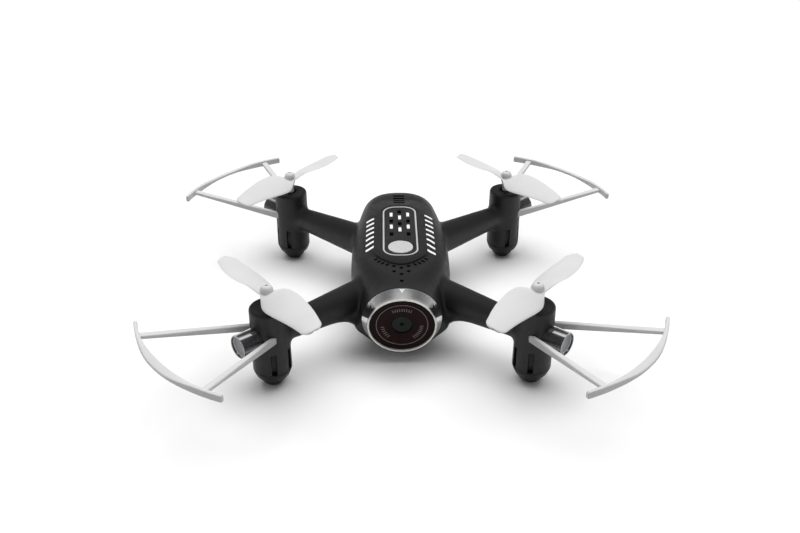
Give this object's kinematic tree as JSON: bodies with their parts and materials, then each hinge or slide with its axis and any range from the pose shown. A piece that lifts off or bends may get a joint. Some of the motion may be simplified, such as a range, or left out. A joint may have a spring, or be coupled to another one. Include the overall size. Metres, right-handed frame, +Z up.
{
  "type": "mini palm drone",
  "caption": "Palm-sized camera drone: black body with arms and motor pods, white twisted propellers, plug-in white guards, nose camera, lights and a power button.",
  "frame": {"origin": "on the ground under the body, midway between the four motor axes", "axes": "+Z up, -Y out of the nose camera, +X to the right as seen from the front"},
  "size_m": [0.1424, 0.1408, 0.0308],
  "materials": {
    "shell_black": "fine satin texture",
    "pod_black": "satin",
    "panel_black": "fine satin texture",
    "white_plastic": "soft gloss",
    "white_print": "flush inlay",
    "silver_trim": "satin",
    "button_metal": "brushed",
    "bezel_chrome": "brushed chrome",
    "window_maroon": "gloss",
    "camera_black": "satin",
    "lens_glass": "polished",
    "board_green": "solder mask",
    "chip_black": "moulded",
    "ribbon": "film",
    "connector": "moulded",
    "wire": "insulation",
    "battery_foil": "pouch foil",
    "steel": "plated",
    "magnet": "nickel plated",
    "winding": "lacquered wire",
    "clear_plastic": "clear, polished",
    "led_board": "white solder mask",
    "led_yellow": "moulded"
  },
  "bodies": {
    "airframe": {"top_shell": "shell_black", "bottom_shell": "shell_black", "deck_panel": "panel_black", "panel_trim": "silver_trim", "panel_inlays": "white_print", "switch_case": "chip_black", "camera_bezel": "bezel_chrome", "camera_window": "window_maroon", "camera_housing": "camera_black", "camera_barrel": "camera_black", "camera_lens": "lens_glass", "camera_board": "board_green", "camera_cable": "ribbon", "flight_board": "board_green", "board_chips": "chip_black", "gyro_chip": "chip_black", "antenna": "wire", "board_socket": "connector", "battery_plug": "connector", "battery_leads": "wire", "battery_cell": "battery_foil", "battery_guard_board": "board_green", "body_screws": "steel", "board_screws": "steel", "motor_leads": "wire", "motor_magnets": "magnet", "led_boards": "led_board", "led_chips": "led_yellow", "motor_can_front_left": "steel", "guard_front_left": "white_plastic", "foot_cap_front_left": "pod_black", "led_lens_front_left": "clear_plastic", "motor_can_front_right": "steel", "guard_front_right": "white_plastic", "foot_cap_front_right": "pod_black", "led_lens_front_right": "clear_plastic", "motor_can_rear_left": "steel", "guard_rear_left": "white_plastic", "foot_cap_rear_left": "pod_black", "led_lens_rear_left": "clear_plastic", "motor_can_rear_right": "steel", "guard_rear_right": "white_plastic", "foot_cap_rear_right": "pod_black", "led_lens_rear_right": "clear_plastic"},
    "button": {"power_button": "button_metal"},
    "switch": {"switch_plunger": "connector"},
    "door": {"battery_door": "shell_black"},
    "front_left_rotor": {"rotor_front_left": "winding", "propeller_front_left": "white_plastic"},
    "front_right_rotor": {"rotor_front_right": "winding", "propeller_front_right": "white_plastic"},
    "rear_left_rotor": {"rotor_rear_left": "winding", "propeller_rear_left": "white_plastic"},
    "rear_right_rotor": {"rotor_rear_right": "winding", "propeller_rear_right": "white_plastic"}
  },
  "joints": [
    {"name": "button_press", "type": "slide", "parent": "airframe", "child": "button", "axis": [0, 0, -1], "range_m": [0, 0.0005]},
    {"name": "switch_press", "type": "slide", "parent": "airframe", "child": "switch", "axis": [0, 0, -1], "range_m": [0, 0.0005]},
    {"name": "battery_door_hinge", "type": "hinge", "parent": "airframe", "child": "door", "pos_m": [0, 0.0327, 0.0063], "axis": [-1, 0, 0], "range_deg": [0, 90]},
    {"name": "propeller_spin_front_left", "type": "hinge", "parent": "airframe", "child": "front_left_rotor", "pos_m": [-0.0354, -0.0354, 0.0286], "axis": [0, 0, 1], "continuous": true},
    {"name": "propeller_spin_front_right", "type": "hinge", "parent": "airframe", "child": "front_right_rotor", "pos_m": [0.0354, -0.0354, 0.0286], "axis": [0, 0, -1], "continuous": true},
    {"name": "propeller_spin_rear_left", "type": "hinge", "parent": "airframe", "child": "rear_left_rotor", "pos_m": [-0.0354, 0.0354, 0.0286], "axis": [0, 0, -1], "continuous": true},
    {"name": "propeller_spin_rear_right", "type": "hinge", "parent": "airframe", "child": "rear_right_rotor", "pos_m": [0.0354, 0.0354, 0.0286], "axis": [0, 0, 1], "continuous": true}
  ],
  "couplings": [
    {"joint": "switch_press", "follows": "button_press", "ratio": 1}
  ]
}
